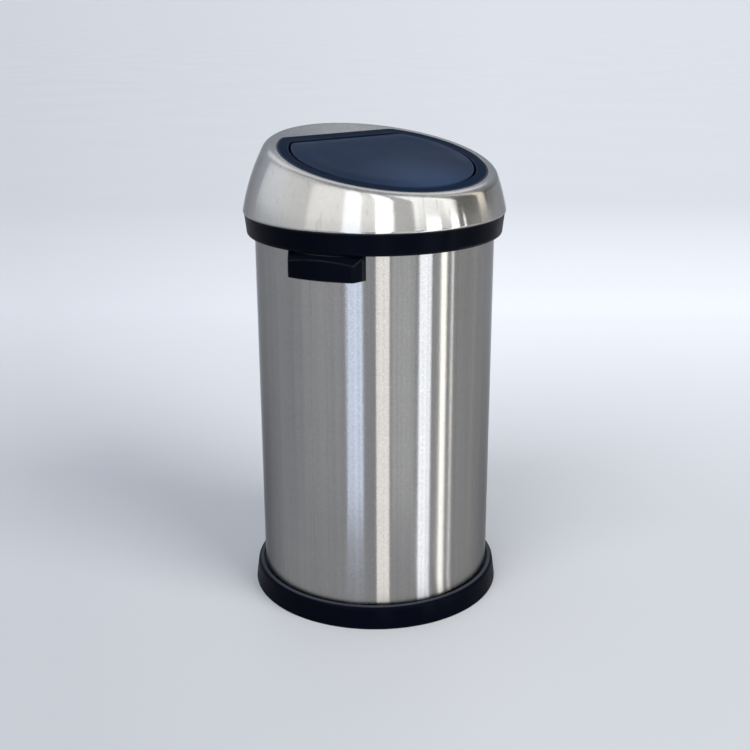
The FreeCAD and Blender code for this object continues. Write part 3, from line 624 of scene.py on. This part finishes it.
def make_world():
    """Soft room light: bluish behind the bin, neutral in front, dim on the right, pale at the horizon."""
    world = bpy.data.worlds.new("studio")
    bpy.context.scene.world = world
    world.use_nodes = True
    nodes = world.node_tree.nodes
    links = world.node_tree.links
    direction = nodes.new("ShaderNodeTexCoord").outputs["Generated"]

    def towards(side):
        node = nodes.new("ShaderNodeVectorMath")
        node.operation = "DOT_PRODUCT"
        node.inputs[1].default_value = side
        links.new(direction, node.inputs[0])
        return node.outputs["Value"]

    def step(value, low, high):
        node = nodes.new("ShaderNodeMapRange")
        node.interpolation_type = "SMOOTHSTEP"
        node.inputs["From Min"].default_value = low
        node.inputs["From Max"].default_value = high
        links.new(value, node.inputs["Value"])
        return node.outputs["Result"]

    def blend(factor, first, second):
        node = nodes.new("ShaderNodeMix")
        node.data_type = "RGBA"
        links.new(factor, node.inputs["Factor"])
        for socket, value in zip((node.inputs[MIX_FIRST], node.inputs[MIX_SECOND]), (first, second)):
            if isinstance(value, tuple):
                socket.default_value = (*value, 1)
            else:
                links.new(value, socket)
        return node.outputs[MIX_RESULT]

    upward = towards(Vector((0, 0, 1)))
    sky = blend(step(towards(TO_CAMERA), *FRONT_BLEND), BACK_LIGHT, FRONT_LIGHT)
    sky = blend(step(towards(TO_RIGHT), *RIGHT_BLEND), sky, RIGHT_LIGHT)
    sky = blend(step(upward, *ZENITH_BLEND), sky, ZENITH_LIGHT)
    sky = blend(step(upward, *HORIZON_BLEND), sky, BACKDROP_COLOUR)
    links.new(sky, nodes["Background"].inputs["Color"])


def add_softbox(name, width, height, colour, brightness, place, behind):
    """Rectangle of light that only reflections show; behind is the direction that its back faces."""
    light = bpy.data.lights.new(name, "AREA")
    light.shape = "RECTANGLE"
    light.size = width
    light.size_y = height
    light.color = colour
    light.energy = brightness * pi * width * height
    lamp = add_object(name, light)
    lamp.location = place
    lamp.rotation_euler = behind.to_track_quat("Z", "Y").to_euler()
    lamp.visible_camera = False
    lamp.visible_diffuse = False


def make_strip(number, degrees_round, distance, width, bottom, top, colour, brightness):
    """Tall narrow softbox that the brushed steel shows as an upright stripe."""
    angle = CAMERA_AZIMUTH + radians(degrees_round)
    outward = Vector((sin(angle), -cos(angle), 0))
    height = top - bottom
    place = outward * distance + Vector((0, 0, bottom + height / 2))
    add_softbox(f"strip_{number}", width, height, colour, brightness, place, outward)


def make_panel():
    """Overhead softbox, turned to the lid."""
    behind = PANEL_PLACE - Vector((0, 0, FACE_HEIGHT))
    add_softbox("panel", PANEL_WIDTH, PANEL_DEPTH, PANEL_COLOUR, PANEL_BRIGHTNESS, PANEL_PLACE, behind)


def make_sun(number, strength, angle, colour, source):
    """Broad soft light over floor and bin, which lays a soft shadow on the other side."""
    light = bpy.data.lights.new(f"sun_{number}", "SUN")
    light.energy = strength
    light.angle = angle
    light.color = colour
    lamp = add_object(f"sun_{number}", light)
    lamp.rotation_euler = source.to_track_quat("Z", "Y").to_euler()
    lamp.visible_glossy = False


def make_camera():
    data = bpy.data.cameras.new("camera")
    data.lens = CAMERA_LENS
    data.sensor_width = CAMERA_SENSOR
    data.clip_end = 2 * FLOOR_RADIUS
    camera = add_object("camera", data)
    turn = Matrix.Rotation(CAMERA_AZIMUTH, 4, "Z")
    tilt = Matrix.Rotation(pi / 2 - CAMERA_PITCH, 4, "X")
    roll = Matrix.Rotation(CAMERA_ROLL, 4, "Z")
    place = TO_CAMERA * CAMERA_DISTANCE + Vector((0, 0, CAMERA_HEIGHT))
    camera.matrix_world = Matrix.Translation(place) @ turn @ tilt @ roll
    bpy.context.scene.camera = camera


dress_nodes()
make_shadow_bead()
make_hinge_springs()
make_latch_spring()
make_all_screws()
make_floor()
make_world()
for number, strip in enumerate(BODY_STRIPS + DOME_STRIPS):
    make_strip(number, *strip)
make_panel()
for number, sun in enumerate(SUNS):
    make_sun(number, *sun)
make_camera()
bpy.context.scene.view_settings.view_transform = "Standard"
